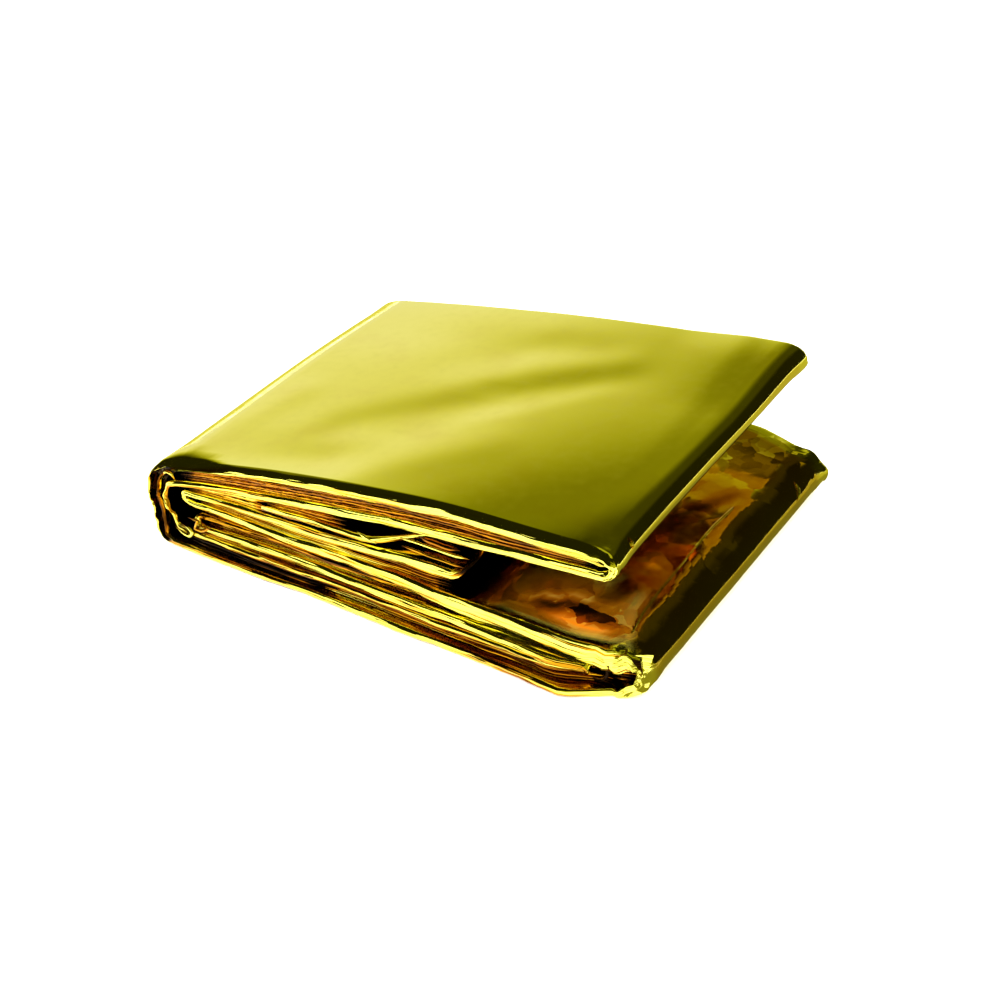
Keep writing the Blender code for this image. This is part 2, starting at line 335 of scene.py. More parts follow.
def loop_places():
    """For each point of the loop round the strip: its share of the way from front to back, and the
    angle round a lip, which is None on the two broad sides."""
    close = np.array(CLOSE_COLUMNS)
    inner = np.linspace(0.0, 1.0, COLUMNS_ALONG_Y - 2 * len(close) + 2)[1:-1]
    share = np.concatenate([close, close[-1] + inner * (1.0 - 2.0 * close[-1]), 1.0 - close[::-1]])
    angles = [math.pi * i / LIP_ARC_STEPS for i in range(1, LIP_ARC_STEPS)]
    places = [(s, 0.0, 1.0) for s in share]
    places += [(1.0, math.sin(a), math.cos(a)) for a in angles]
    places += [(s, 0.0, -1.0) for s in share[::-1]]
    places += [(0.0, -math.sin(a), -math.cos(a)) for a in angles]
    return np.array(places)


def boxed(value, power):
    """A circle's sine or cosine squared off: 2 keeps it round."""
    return np.sign(value) * np.abs(value) ** (2.0 / power)


# How far a puffed edge reaches in from the front or back, how far the turns' edges sway from side to
# side and how much of a turn's height lies between its two rims.
BEAD_RUN = 5.0
TURN_SWAY = 0.12
BETWEEN_RIMS = 0.66

# The cover's front edge: its squareness above, where under 2 gives a sharp shoulder, and how much taller
# its underside is at the spine and from the middle on.
COVER_SHOULDER = 1.5
COVER_FALL = (-0.45, 0.55)

# The cover bends down along its open edge: where that starts at the front, how much sooner at the back,
# over how many mm and how deep.
OPEN_EDGE = (112.0, 7.0, 8.0, 0.35)

# The cover's far corner stays up: the x and y at which it starts to rise, over how many mm and how high.
FAR_CORNER = (88.0, 60.0, 32.0, 38.0, 1.5)

# Tones are painted light and shade: 0 is pale foil in full light, 1 the dark depth of a fold. The inside
# tone is painted shade for sides that look into a fold, and the tail tone is painted shade added on the
# underside of a rounded edge.
INSIDE_SHADE_TONE = 0.75

# The lower leaf's facets get painted light and shade that differ from facet to facet, most of all near
# the front. There a painted orange glow of light bounced in the fold is added, and the film is made less
# of a mirror: how much at the back and the front, how strong the glow, how much deeper in tone, and the
# middle and reach of that place.
FACET_SHADE_BACK = 0.30
FACET_SHADE_FRONT = 0.70
PAINTED_GLOW = 0.28
PAINTED_GLOW_TONE = 0.24
PAINTED_GLOW_MIDDLE = (107.0, 7.0)
PAINTED_GLOW_REACH = (17.0, 15.0)

# Painted reflections on the lower leaf, lighter and darker: middle, reach, turn in degrees, what each
# adds to the tone and to the painted orange glow.
PaintedReflection = namedtuple("PaintedReflection", "x y reach_x reach_y turn tone haze")
PAINTED_LEAF_REFLECTIONS = [
    PaintedReflection(110.5, 4.6, 8.0, 3.0, -8.0, -0.34, 0.36),
    PaintedReflection(98.5, 10.0, 5.0, 1.5, 25.0, -0.26, 0.14),
    PaintedReflection(107.0, 13.5, 6.5, 1.8, 10.0, -0.22, 0.12),
    PaintedReflection(103.0, 9.0, 5.0, 1.6, 15.0, 0.30, -0.10),
    PaintedReflection(112.0, 18.5, 2.4, 10.0, -20.0, 0.22, -0.10),
    PaintedReflection(115.5, 30.0, 2.2, 9.0, -8.0, -0.10, 0.0),
    PaintedReflection(110.0, 50.0, 2.6, 12.0, -24.0, 0.32, 0.0),
    PaintedReflection(114.0, 62.0, 2.0, 9.0, -30.0, 0.28, 0.0),
    PaintedReflection(108.0, 36.0, 3.0, 9.0, -18.0, 0.24, 0.0),
]
# Painted shade on the underside of a rounded edge.
UNDERSIDE_SHADE_TONE = 0.14

# Flat facets pressed on the corners: a point of the facet's plane, the way that it faces, the place
# round which it works and how far it reaches from there.
Dent = namedtuple("Dent", "point facing centre reach")
DENTS = [
    Dent((2.0, 3.4, 24.0), (-0.26, -0.52, 0.83), (0.0, 0.0, 23.0), 22.0),
    Dent((124.5, 1.0, 6.0), (0.55, -0.80, 0.15), (125.0, 0.0, 6.0), 12.0),
    Dent((118.0, -3.6, 9.0), (0.15, -0.90, 0.35), (117.0, -3.5, 9.0), 9.0),
    Dent((126.5, 4.0, 9.5), (0.60, -0.30, 0.74), (126.0, 4.0, 9.0), 9.0),
]


# Crumpled places of the film: the middle, the reach, the height and the relative size of the crumples.
Crumple = namedtuple("Crumple", "centre reach height size")
CRUMPLES = [
    Crumple((124.0, -3.0, 7.0), 10.0, 1.1, 0.33),
    Crumple((120.5, 0.0, 33.0), 5.0, 0.5, 0.3),
    Crumple((0.0, 0.0, 10.0), 11.0, 0.45, 0.4),
    Crumple((84.0, 0.0, 21.0), 5.0, 0.4, 0.3),
    Crumple((124.0, 96.0, 6.0), 12.0, 0.7, 0.5),
]


def shape_corners(points):
    """Presses the flat facets in, then crumples the film near its corners."""
    for dent in DENTS:
        facing = np.array(dent.facing) / np.linalg.norm(dent.facing)
        over = (points - np.array(dent.point)) @ facing
        near = np.linalg.norm(points - np.array(dent.centre), axis=-1)
        work = smooth((dent.reach - near) / (0.4 * dent.reach))
        points = points - facing * (np.maximum(over, 0.0) * work)[..., None]
    for crumple in CRUMPLES:
        near = np.linalg.norm(points - np.array(crumple.centre), axis=-1)
        work = crumple.height * smooth(1.3 - near / crumple.reach)
        x, y, z = np.moveaxis(points, -1, 0) / crumple.size
        move = np.stack([facets(y, z, 0.3), facets(x, z, 1.1), facets(x, y, 2.2)], axis=-1)
        points = points + work[..., None] * move
    return points


def crumpled(points):
    """0 to 1: how near a point lies to a crumpled place."""
    total = np.zeros(points.shape[:-1])
    for crumple in CRUMPLES:
        near = np.linalg.norm(points - np.array(crumple.centre), axis=-1)
        total = np.maximum(total, smooth(1.3 - near / crumple.reach))
    return total


def painted_leaf_reflections(x, y):
    """What the painted reflections add to the lower leaf's tone and painted glow at a place."""
    tone = np.zeros_like(x)
    haze = np.zeros_like(x)
    for mark in PAINTED_LEAF_REFLECTIONS:
        a = math.radians(mark.turn)
        along = ((x - mark.x) * math.cos(a) + (y - mark.y) * math.sin(a)) / mark.reach_x
        across = ((y - mark.y) * math.cos(a) - (x - mark.x) * math.sin(a)) / mark.reach_y
        work = smooth(1.5 - np.hypot(along, across))
        tone += mark.tone * work
        haze += mark.haze * work
    return tone, haze


def film_points(stations):
    """Every point of the closed strip in the tables' frame, as an array of stations by loop points."""
    value = {name: np.array([getattr(s, name) for s in stations])[:, None] for name in Station._fields}
    x = value["x"][:, 0]
    z = value["z"][:, 0]
    run_x = np.gradient(x)
    run_z = np.gradient(z)
    length = np.hypot(run_x, run_z)
    side_x = (-run_z / length)[:, None]
    side_z = (run_x / length)[:, None]
    share, across, level = (column[None, :] for column in loop_places().T)
    half = value["thick"] / 2.0
    bead = value["bead"] / 2.0
    roll = value["roll"]
    front = -value["lip"] + roll
    back = PACK_DEPTH + value["tail"] - roll
    y_flat = mix(front, back, share)
    to_front = np.exp(-(((y_flat - front) / BEAD_RUN) ** 2))
    to_back = np.exp(-(((back - y_flat) / BEAD_RUN) ** 2))
    extra = (bead - half) * np.maximum(to_front, to_back)
    tall = half + extra
    outward = level > 0.0
    under = level * np.sign(side_z) < 0.0
    power = np.where(under, value["boxy"], mix(value["boxy"], COVER_SHOULDER, value["cover"]))
    taller = value["cover"] * mix(*COVER_FALL, smooth(value["x"] / MIDDLE_X)) * np.abs(across) ** 0.5
    level = boxed(level, power) * np.where(under, 1.0 + taller, 1.0)
    out = boxed(across, power)
    hollow = np.clip(1.0 - (level / BETWEEN_RIMS) ** 6, 0.0, 1.0) * np.abs(out)
    wobble = value["wobble"] * ripple(value["x"] + 3.0 * value["z"], level)
    y = y_flat + out * (roll + wobble) - np.sign(out) * value["groove"] * hollow
    v = np.clip(y / PACK_DEPTH, 0.0, 1.0)
    fall = value["drop"] * (1.0 - (1.0 - v) ** 2)
    wide_x = np.broadcast_to(value["x"], y.shape)
    fall = fall + value["cover"] * crease_depth(wide_x, y)
    fall = fall - value["crinkle"] * facets(wide_x, y, 0.0)
    fall = fall + value["lean"] * extra
    crease_y, crease_x = zip(*LEAF_CREASE)
    beyond = np.clip(wide_x - np.interp(y, crease_y, crease_x), 0.0, LEAF_RUN)
    fall = fall + value["leaf"] * LEAF_FALL * beyond
    rise_x, rise_y, run_far, run_back, high = FAR_CORNER
    corner_rise = high * smooth((wide_x - rise_x) / run_far) * smooth((y - rise_y) / run_back)
    fall = fall - value["cover"] * corner_rise
    offset = tall * level
    waver = np.sin(0.9 * value["z"] + 1.7 * np.sin(0.4 * value["z"]))
    sway = TURN_SWAY * (value["wobble"] - 1.0) * waver * np.abs(out)
    points = np.stack([value["x"] + side_x * offset + sway, y, value["z"] - fall + side_z * offset], axis=-1)
    points = shape_corners(points)
    # Painted light and shade in the tone: the rounded edges take their own tone. Sides that look into a fold
    # and the undersides of the edges are painted darker, and so are the lower leaf under the flap and the
    # grooves between two rims.
    at_edge = np.maximum(np.abs(out), np.maximum(to_front, to_back) ** 8)
    underside_shade = np.clip(0.15 - level * side_z, 0.0, 1.0) * np.abs(out)
    shade = value["depth"] * (1.0 - smooth((y - DARK_BACK_TO) / (CLEAR_BEHIND - DARK_BACK_TO)))
    face = mix(value["face"], 0.97, shade)
    tone = mix(np.where(outward, face, INSIDE_SHADE_TONE), value["edge"], at_edge)
    tone = np.clip(tone + UNDERSIDE_SHADE_TONE * underside_shade, 0.0, 1.0)
    groove_shade = np.maximum(hollow, np.abs(out) * (level < 0.5))
    tone = mix(tone, 1.0, groove_shade * np.clip(value["groove"], 0.0, 1.0))
    run = np.concatenate([[0.0], np.cumsum(np.hypot(np.diff(x), np.diff(z)))])[:, None]
    on_side = (value["leaf"] > 0.0) & (value["leaf"] < 1.0)
    crinkle = value["crinkle"] * np.where(on_side, np.clip(3.0 * value["leaf"] - 2.0, 0.0, 1.0), 1.0)
    on_leaf = value["leaf"] * outward * (1.0 - at_edge) * (1.0 - smooth(beyond / 1.5))
    # Painted orange glow near the lower leaf's front.
    far_in = np.hypot((wide_x - PAINTED_GLOW_MIDDLE[0]) / PAINTED_GLOW_REACH[0], (y - PAINTED_GLOW_MIDDLE[1]) / PAINTED_GLOW_REACH[1])
    haze = smooth(1.4 - far_in) * (1.0 - shade)
    # Painted reflections, lighter and darker, on the lower leaf.
    reflection_tone, reflection_glow = painted_leaf_reflections(wide_x, y)
    tone = tone + on_leaf * (PAINTED_GLOW_TONE * haze + reflection_tone * (1.0 - shade))
    facet_shade = mix(FACET_SHADE_BACK, FACET_SHADE_FRONT, haze)
    facts = {
        "tone": tone,
        "crumple": np.clip(5.0 * crinkle * (1.0 - 0.7 * at_edge) + 1.5 * crumpled(points), 0.0, 1.5),
        "streaks": mix(at_edge, np.abs(out), value["cover"]),
        "run": np.broadcast_to(run, y.shape),
        "round": offset,
        "facet_shade": facet_shade * on_leaf,
        "haze": on_leaf * np.clip(PAINTED_GLOW * haze + reflection_glow, 0.0, 0.8),
    }
    return points, facts


def film_faces(rows, columns):
    """Quads round the strip, and a fan of quads over each end."""
    r, c = np.meshgrid(np.arange(rows - 1), np.arange(columns), indexing="ij")
    after = (c + 1) % columns
    here = r * columns
    there = here + columns
    quads = np.stack([here + c, here + after, there + after, there + c], -1)
    faces = quads.reshape(-1, 4).tolist()
    lip = LIP_ARC_STEPS - 1
    for row, flip in ((0, False), (rows - 1, True)):
        top = [row * columns + i for i in range(COLUMNS_ALONG_Y)]
        under = [row * columns + i for i in range(COLUMNS_ALONG_Y + lip, 2 * COLUMNS_ALONG_Y + lip)][::-1]
        back = [row * columns + i for i in range(COLUMNS_ALONG_Y, COLUMNS_ALONG_Y + lip)]
        front = [row * columns + i for i in range(2 * COLUMNS_ALONG_Y + lip, columns)]
        ends = [[top[i], under[i], under[i + 1], top[i + 1]] for i in range(COLUMNS_ALONG_Y - 1)]
        ends.append([top[-1], under[-1], *back[::-1]])
        ends.append([top[0], *front[::-1], under[0]])
        faces += [face[::-1] if flip else face for face in ends]
    return faces


def add_object(name, mesh):
    """A new object of the scene, at the origin."""
    made = bpy.data.objects.new(name, mesh)
    bpy.context.scene.collection.objects.link(made)
    return made


def store_values(mesh, name, values):
    """Keeps one number for each point on the mesh, for materials and nodes."""
    column = mesh.attributes.new(name, "FLOAT", "POINT").data
    column.foreach_set("value", np.ravel(values).astype(np.float32))


def build_film():
    """The whole film as one closed mesh."""
    points, facts = film_points(strip_stations())
    rows, columns = points.shape[:2]
    placed = (points.reshape(-1, 3) - np.array(TABLE_ORIGIN)) * MM
    placed[:, 2] = np.maximum(placed[:, 2], 0.0)
    mesh = bpy.data.meshes.new("gold_film")
    mesh.from_pydata(placed.tolist(), [], film_faces(rows, columns))
    mesh.shade_smooth()
    for name, values in facts.items():
        store_values(mesh, name, values)
    mesh.validate()
    if signed_volume(mesh) < 0.0:
        mesh.flip_normals()
    return add_object("gold_film", mesh)


def signed_volume(mesh):
    mesh.calc_loop_triangles()
    corners = np.empty(len(mesh.loop_triangles) * 3, np.int32)
    mesh.loop_triangles.foreach_get("vertices", corners)
    points = np.empty(len(mesh.vertices) * 3)
    mesh.vertices.foreach_get("co", points)
    triangles = points.reshape(-1, 3)[corners.reshape(-1, 3)]
    return float(np.linalg.det(triangles).sum() / 6.0)


# Colours of the foil by tone, from full light to the dark depth of a fold.
TONES = [
    (0.0, (1.0, 0.93, 0.12, 1.0)),
    (0.2, (1.0, 0.90, 0.12, 1.0)),
    (0.4, (0.62, 0.30, 0.004, 1.0)),
    (0.6, (0.36, 0.12, 0.002, 1.0)),
    (0.8, (0.09, 0.03, 0.001, 1.0)),
    (1.0, (0.010, 0.004, 0.0005, 1.0)),
]

# Flat facets in the film's relief: cells per metre, how far their faces tilt and how much each layer
# counts in the facets' painted shade. FACET_BEND is how far their borders stray, in metres.
FACET_LAYERS = [(95.0, 0.11, 0.85), (240.0, 0.07, 0.25)]
FACET_BEND = 0.006


def new_group(name, kind, inputs, outputs):
    """A node group with its sockets, given as name and type, and its input and output nodes."""
    group = bpy.data.node_groups.new(name, kind)
    for way, sockets in (("INPUT", inputs), ("OUTPUT", outputs)):
        for label, form in sockets:
            group.interface.new_socket(label, in_out=way, socket_type="NodeSocket" + form)
    return group, group.nodes.new("NodeGroupInput"), group.nodes.new("NodeGroupOutput")


def noise_node(tree, scale, detail, place):
    """A noise texture read at a place."""
    node = tree.nodes.new("ShaderNodeTexNoise")
    node.inputs["Scale"].default_value = scale
    node.inputs["Detail"].default_value = detail
    tree.links.new(place, node.inputs["Vector"])
    return node


def range_node(tree, value, *ends):
    """A value carried from the range of the first two ends to that of the last two."""
    node = tree.nodes.new("ShaderNodeMapRange")
    for name, end in zip(("From Min", "From Max", "To Min", "To Max"), ends):
        node.inputs[name].default_value = end
    tree.links.new(value, node.inputs["Value"])
    return node.outputs["Result"]


def foil_tone_group():
    """Colour and roughness of the foil: Tone, the painted light and shade, picks the colour, noise varies it
    a little, and lines along the folds add painted shade.
    """
    inputs = [("Tone", "Float"), ("Variation", "Float"), ("Place", "Vector"), ("Lines", "Vector")]
    outputs = [("Colour", "Color"), ("Roughness", "Float")]
    group, start, end = new_group("foil_tone", "ShaderNodeTree", inputs + [("Streaks", "Float")], outputs)
    link = group.links.new
    patches = noise_node(group, 60.0, 4.0, start.outputs["Place"])
    centred = math_node(group, "SUBTRACT", patches.outputs["Fac"], 0.5)
    varied = math_node(group, "MULTIPLY_ADD", centred, start.outputs["Variation"], start.outputs["Tone"])
    stretched = vector_node(group, "MULTIPLY", start.outputs["Lines"], (0.028, 1.25, 1.0))
    lines = noise_node(group, 1.0, 2.0, stretched)
    painted_line_shade = range_node(group, lines.outputs["Fac"], 0.46, 0.66, 0.0, 0.50)
    varied = math_node(group, "MULTIPLY_ADD", painted_line_shade, start.outputs["Streaks"], varied)
    ramp = group.nodes.new("ShaderNodeValToRGB")
    stops = ramp.color_ramp.elements
    while len(stops) < len(TONES):
        stops.new(0.5)
    for stop, (position, colour) in zip(stops, TONES):
        stop.position = position
        stop.color = colour
    link(varied, ramp.inputs["Fac"])
    scuffs = noise_node(group, 420.0, 5.0, start.outputs["Place"])
    worn = range_node(group, scuffs.outputs["Fac"], 0.35, 0.75, 0.05, 0.16)
    link(ramp.outputs["Color"], end.inputs["Colour"])
    link(worn, end.inputs["Roughness"])
    return group


def foil_relief_group():
    """Relief finer than the mesh: flat facets with sharp edges as a normal, and fine lengthwise lines of
    the plies as a height in mm. Lines holds the way along and round a fold in mm, and Facet is a number
    about 0 for the facets in which a place lies."""
    inputs = [("Place", "Vector"), ("Lines", "Vector"), ("Crumple", "Float"), ("Streaks", "Float")]
    outputs = [("Normal", "Vector"), ("Height", "Float"), ("Facet", "Float")]
    group, start, end = new_group("foil_relief", "ShaderNodeTree", inputs, outputs)
    link = group.links.new
    bends = noise_node(group, 180.0, 3.0, start.outputs["Place"])
    bend = (FACET_BEND, FACET_BEND, FACET_BEND)
    bent = vector_node(group, "MULTIPLY_ADD", bends.outputs["Color"], bend, start.outputs["Place"])
    normal = group.nodes.new("ShaderNodeNewGeometry").outputs["Normal"]
    facet = 0.0
    for scale, tilt, tint in FACET_LAYERS:
        cells = group.nodes.new("ShaderNodeTexVoronoi")
        cells.inputs["Scale"].default_value = scale
        link(bent, cells.inputs["Vector"])
        lean = vector_node(group, "SUBTRACT", cells.outputs["Color"], (0.5, 0.5, 0.5))
        amount = math_node(group, "MULTIPLY", start.outputs["Crumple"], tilt)
        part = group.nodes.new("ShaderNodeSeparateXYZ")
        link(lean, part.inputs[0])
        facet = math_node(group, "MULTIPLY_ADD", part.outputs["X"], tint, facet)
        scaled = group.nodes.new("ShaderNodeVectorMath")
        scaled.operation = "SCALE"
        link(lean, scaled.inputs[0])
        link(amount, scaled.inputs["Scale"])
        normal = vector_node(group, "ADD", normal, scaled.outputs[0])
    normal = vector_node(group, "NORMALIZE", normal)
    stretched = vector_node(group, "MULTIPLY", start.outputs["Lines"], (0.035, 1.9, 1.0))
    fine = noise_node(group, 1.0, 2.0, stretched)
    centred = math_node(group, "SUBTRACT", fine.outputs["Fac"], 0.5)
    height = math_node(group, "MULTIPLY", centred, start.outputs["Streaks"])
    link(normal, end.inputs["Normal"])
    link(height, end.inputs["Height"])
    link(facet, end.inputs["Facet"])
    return group


def vector_node(tree, operation, *values):
    """A Vector Math node's output, with each input linked or set."""
    node = tree.nodes.new("ShaderNodeVectorMath")
    node.operation = operation
    for socket, value in zip(node.inputs, values):
        if isinstance(value, bpy.types.NodeSocket):
            tree.links.new(value, socket)
        else:
            socket.default_value = value
    return node.outputs[0]


def attribute(tree, name):
    node = tree.nodes.new("ShaderNodeAttribute")
    node.attribute_name = name
    return node.outputs["Fac"]


def foil_material(name, tone_group, relief_group, variation, relief_depth):
    """Gold foil with both groups. The caller fills their Tone, Lines, Crumple and Streaks inputs and the
    shader's Base Color."""
    material = bpy.data.materials.new(name)
    material.use_nodes = True
    tree = material.node_tree
    link = tree.links.new
    shader = tree.nodes["Principled BSDF"]
    shader.inputs["Metallic"].default_value = 1.0
    shader.inputs["Specular IOR Level"].default_value = 0.0
    shader.inputs["Coat Weight"].default_value = 0.04
    shader.inputs["Coat Roughness"].default_value = 0.10
    where = tree.nodes.new("ShaderNodeTexCoord").outputs["Object"]
    tone = tree.nodes.new("ShaderNodeGroup")
    tone.node_tree = tone_group
    tone.inputs["Variation"].default_value = variation
    link(where, tone.inputs["Place"])
    link(tone.outputs["Roughness"], shader.inputs["Roughness"])
    relief = tree.nodes.new("ShaderNodeGroup")
    relief.node_tree = relief_group
    link(where, relief.inputs["Place"])
    bump = tree.nodes.new("ShaderNodeBump")
    bump.inputs["Distance"].default_value = relief_depth * MM
    link(relief.outputs["Height"], bump.inputs["Height"])
    link(relief.outputs["Normal"], bump.inputs["Normal"])
    link(bump.outputs["Normal"], shader.inputs["Normal"])
    return material, shader, tone, relief


def film_material(tone_group, relief_group):
    """The outer film: it reads how crumpled it is and the way along its folds from the mesh. The painted
    glow makes it less of a mirror and tints it amber, for light bounced between the folds."""
    material, shader, tone, relief = foil_material("gold_film_foil", tone_group, relief_group, 0.10, 0.22)
    tree = material.node_tree
    link = tree.links.new
    way = tree.nodes.new("ShaderNodeCombineXYZ")
    link(attribute(tree, "run"), way.inputs["X"])
    link(attribute(tree, "round"), way.inputs["Y"])
    link(attribute(tree, "crumple"), relief.inputs["Crumple"])
    for group_node in (tone, relief):
        link(way.outputs[0], group_node.inputs["Lines"])
        link(attribute(tree, "streaks"), group_node.inputs["Streaks"])
    # Each facet of the lower leaf gets its own painted shade.
    painted_facet_shade = math_node(tree, "MULTIPLY", relief.outputs["Facet"], attribute(tree, "facet_shade"))
    link(math_node(tree, "ADD", painted_facet_shade, attribute(tree, "tone")), tone.inputs["Tone"])
    haze = attribute(tree, "haze")
    link(math_node(tree, "SUBTRACT", 1.0, haze), shader.inputs["Metallic"])
    # The painted glow tints the colour amber, for light bounced between the folds.
    amber = tree.nodes.new("ShaderNodeCombineColor")
    amber.inputs["Red"].default_value = 1.0
    for name, loss in (("Green", -1.1), ("Blue", -1.5)):
        link(math_node(tree, "MULTIPLY_ADD", haze, loss, 1.0), amber.inputs[name])
    tinted = vector_node(tree, "MULTIPLY", tone.outputs["Colour"], amber.outputs["Color"])
    link(tinted, shader.inputs["Base Color"])
    return material


def ply_material(tone_group, relief_group):
    """The thin plies inside: they all run along x, so their lines follow it too."""
    material, shader, tone, relief = foil_material("inner_ply_foil", tone_group, relief_group, 0.45, 0.15)
    tree = material.node_tree
    link = tree.links.new
    link(attribute(tree, "tone"), tone.inputs["Tone"])
    link(tone.outputs["Colour"], shader.inputs["Base Color"])
    where = tree.nodes.new("ShaderNodeTexCoord").outputs["Object"]
    parts = tree.nodes.new("ShaderNodeSeparateXYZ")
    link(where, parts.inputs[0])
    way = tree.nodes.new("ShaderNodeCombineXYZ")
    for part, axis in (("X", "X"), ("Z", "Y")):
        link(math_node(tree, "MULTIPLY", parts.outputs[part], 1000.0), way.inputs[axis])
    relief.inputs["Crumple"].default_value = 0.8
    for group_node, amount in ((tone, 0.3), (relief, 1.0)):
        link(way.outputs[0], group_node.inputs["Lines"])
        group_node.inputs["Streaks"].default_value = amount
    return material


def place_camera():
    data = bpy.data.cameras.new("photo_camera")
    data.lens = CAMERA_LENS
    data.sensor_width = 36.0
    data.clip_start = 0.01
    data.clip_end = 20.0
    camera = bpy.data.objects.new("photo_camera", data)
    bpy.context.scene.collection.objects.link(camera)
    place = (Vector(CAMERA_PLACE) - Vector(TABLE_ORIGIN)) * MM
    aim = (Vector(CAMERA_AIM) - Vector(TABLE_ORIGIN)) * MM
    camera.location = place
    turn = (aim - place).to_track_quat("-Z", "Y").to_matrix().to_4x4()
    turn = turn @ Matrix.Rotation(math.radians(CAMERA_ROLL), 4, "Z")
    camera.rotation_mode = "QUATERNION"
    camera.rotation_quaternion = turn.to_quaternion()
    bpy.context.scene.camera = camera


FLOOR_REACH = 4000.0
FLOOR_HEIGHT = -0.2
CARD_HEIGHT = -0.1


def plain_material(name, colour):
    """A dull plain colour, for the stage."""
    material = bpy.data.materials.new(name)
    material.use_nodes = True
    shader = material.node_tree.nodes["Principled BSDF"]
    shader.inputs["Base Color"].default_value = (*colour, 1.0)
    shader.inputs["Roughness"].default_value = 0.9
    shader.inputs["Specular IOR Level"].default_value = 0.0
    return material


def level_plate(name, edges, height, material):
    """A level rectangle. edges are its left, right, front and back in mm, in the frame's own axes."""
    left, right, front, back = edges
    corners = [(left, front), (right, front), (right, back), (left, back)]
    mesh = bpy.data.meshes.new(name)
    mesh.from_pydata([(MM * x, MM * y, MM * height) for x, y in corners], [], [(0, 1, 2, 3)])
    mesh.materials.append(material)
    return add_object(name, mesh)


def build_floor():
    edges = (-FLOOR_REACH, FLOOR_REACH, -FLOOR_REACH, FLOOR_REACH)
    material = plain_material("pale_floor", (0.96, 0.96, 0.96))
    level_plate("floor", edges, FLOOR_HEIGHT, material)


# Cards that lie on the floor and show only in the film's reflections: left, right, front and back in mm
# in the frame's own axes, and how pale they are.
Card = namedtuple("Card", "name left right front back pale")
CARDS = [
    Card("right_card", 67.6, 900.0, -75.0, 62.0, 0.104),
    Card("back_card", -60.0, 900.0, 62.0, 900.0, 0.175),
    Card("left_card", -900.0, -75.0, -40.0, 900.0, 0.265),
]


def build_cards():
    for name, *edges, pale in CARDS:
        material = plain_material(name, (pale, 0.94 * pale, 0.2 * pale))
        card = level_plate(name, edges, CARD_HEIGHT, material)
        card.visible_camera = False
        card.visible_diffuse = False
        card.visible_shadow = False


# Soft studio lights as the film sees them, in degrees: the azimuth of the middle from +X towards +Y,
# how far the light reaches to each side and over how much more it fades, the height above the floor at
# which it starts, up to which it is full and at which it has gone, and its strength. The first five stand
# where the photo's do, and the rest light the other sides.
SoftLight = namedtuple("SoftLight", "azimuth reach fade start full gone strength")
SOFT_LIGHTS = [
    SoftLight(131.0, 19.0, 18.0, -90.0, 14.0, 32.0, 0.66),
    SoftLight(131.0, 19.0, 18.0, -90.0, 35.0, 45.0, 0.17),
    SoftLight(285.0, 8.0, 18.0, -90.0, 14.0, 34.0, 0.40),
    SoftLight(345.0, 14.0, 26.0, -90.0, 12.0, 34.0, 0.35),
    SoftLight(97.0, 15.0, 12.0, -90.0, 48.0, 62.0, 0.035),
    SoftLight(335.0, 40.0, 18.0, 20.0, 40.0, 58.0, 0.40),
    SoftLight(180.0, 10.0, 8.0, -90.0, 9.0, 19.0, 0.45),
    SoftLight(80.0, 28.0, 12.0, 57.0, 74.0, 89.0, 0.45),
]
CAMERA_WHITE = 1.0
FLOOR_LIGHT = 2.9
DARK_ROOM = 0.013
FULL_LIGHT = 0.84


def soft_light_group():
    """Light of one soft panel, seen in a direction."""
    names = ("Azimuth", "Reach", "Fade", "Start", "Full", "Gone", "Strength")
    inputs = [("Direction", "Vector")] + [(name, "Float") for name in names]
    group, start, end = new_group("soft_light", "ShaderNodeTree", inputs, [("Light", "Float")])
    link = group.links.new
    parts = group.nodes.new("ShaderNodeSeparateXYZ")
    link(start.outputs["Direction"], parts.inputs[0])
    bearing = math_node(group, "ARCTAN2", parts.outputs["Y"], parts.outputs["X"])
    apart = math_node(group, "SUBTRACT", bearing, start.outputs["Azimuth"])
    turned = math_node(group, "WRAP", apart, math.pi, -math.pi)
    away = math_node(group, "ABSOLUTE", turned)
    reach_end = math_node(group, "ADD", start.outputs["Reach"], start.outputs["Fade"])
    beside = fade_node(group, away, start.outputs["Reach"], reach_end)
    height = math_node(group, "ARCSINE", parts.outputs["Z"])
    above = fade_node(group, height, start.outputs["Full"], start.outputs["Gone"])
    lowest = math_node(group, "SUBTRACT", start.outputs["Start"], math.radians(5.0))
    highest = math_node(group, "ADD", start.outputs["Start"], math.radians(5.0))
    below_start = fade_node(group, height, lowest, highest)
    band = math_node(group, "SUBTRACT", above, math_node(group, "MULTIPLY", above, below_start))
    both = math_node(group, "MULTIPLY", beside, band)
    light = math_node(group, "MULTIPLY", both, start.outputs["Strength"])
    link(light, end.inputs["Light"])
    return group


def math_node(tree, operation, *values):
    """A Math node's output, with each input linked or set."""
    node = tree.nodes.new("ShaderNodeMath")
    node.operation = operation
    for socket, value in zip(node.inputs, values):
        if isinstance(value, bpy.types.NodeSocket):
            tree.links.new(value, socket)
        else:
            socket.default_value = value
    return node.outputs[0]


def fade_node(tree, value, full, gone):
    """1 up to full, then softly down to 0 at gone."""
    node = tree.nodes.new("ShaderNodeMapRange")
    node.interpolation_type = "SMOOTHSTEP"
    tree.links.new(value, node.inputs["Value"])
    for name, end in (("From Min", full), ("From Max", gone)):
        if isinstance(end, bpy.types.NodeSocket):
            tree.links.new(end, node.inputs[name])
        else:
            node.inputs[name].default_value = end
    node.inputs["To Min"].default_value = 1.0
    node.inputs["To Max"].default_value = 0.0
    return node.outputs["Result"]


